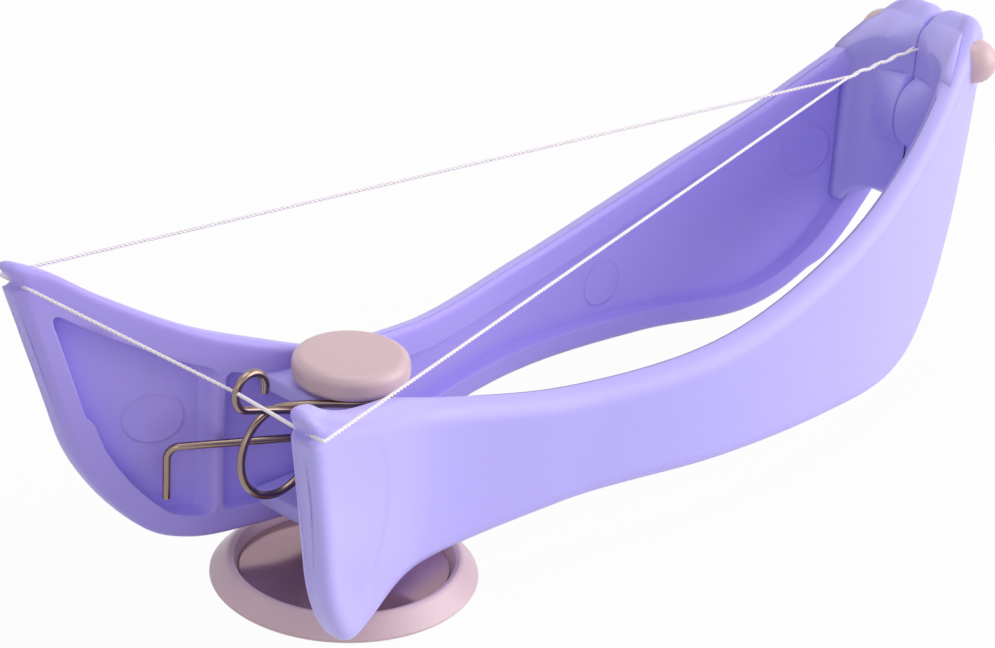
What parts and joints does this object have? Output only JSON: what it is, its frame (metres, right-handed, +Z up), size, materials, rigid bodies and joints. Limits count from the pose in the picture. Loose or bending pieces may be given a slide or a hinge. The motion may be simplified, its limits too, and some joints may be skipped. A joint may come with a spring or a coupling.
{
  "type": "facial hair threading tool",
  "caption": "Hand-held facial hair threading tool: sprung, curved arms on an upright pivot over a round dish, with a taut thread from the wing ends to the tips.",
  "frame": {"origin": "centre of the dish's underside, on the pivot's axis", "axes": "+Z up the pivot, +X to the closed tips, +Y to the rear arm"},
  "size_m": [0.155, 0.0564, 0.0494],
  "materials": {
    "lavender_plastic": "gloss",
    "pink_plastic": "gloss",
    "dish_floor": "mirror gloss",
    "post_steel": "satin",
    "spring_wire": "polished nickel",
    "cotton_thread": "twisted matte"
  },
  "bodies": {
    "pivot": {"base_dish": "pink_plastic", "dish_disc": "dish_floor", "pivot_post": "post_steel", "top_cap": "pink_plastic", "arm_spring": "spring_wire", "thread_hook": "spring_wire", "thread": "cotton_thread"},
    "rear_arm": {"rear_arm": "lavender_plastic", "rear_button": "pink_plastic"},
    "front_arm": {"front_arm": "lavender_plastic", "front_button": "pink_plastic"}
  },
  "joints": [
    {"name": "rear_arm_swing", "type": "hinge", "parent": "pivot", "child": "rear_arm", "pos_m": [0, 0, 0.016], "axis": [0, 0, 1], "range_deg": [0, 12], "stiffness_Nm_per_rad": 0.3, "springref_deg": -5.16, "deforming": ["arm_spring", "thread"]},
    {"name": "front_arm_swing", "type": "hinge", "parent": "pivot", "child": "front_arm", "pos_m": [0, 0, 0.016], "axis": [0, 0, 1], "range_deg": [-12, 0], "stiffness_Nm_per_rad": 0.3, "springref_deg": 5.16}
  ],
  "couplings": [
    {"joint": "front_arm_swing", "follows": "rear_arm_swing", "ratio": -1}
  ]
}
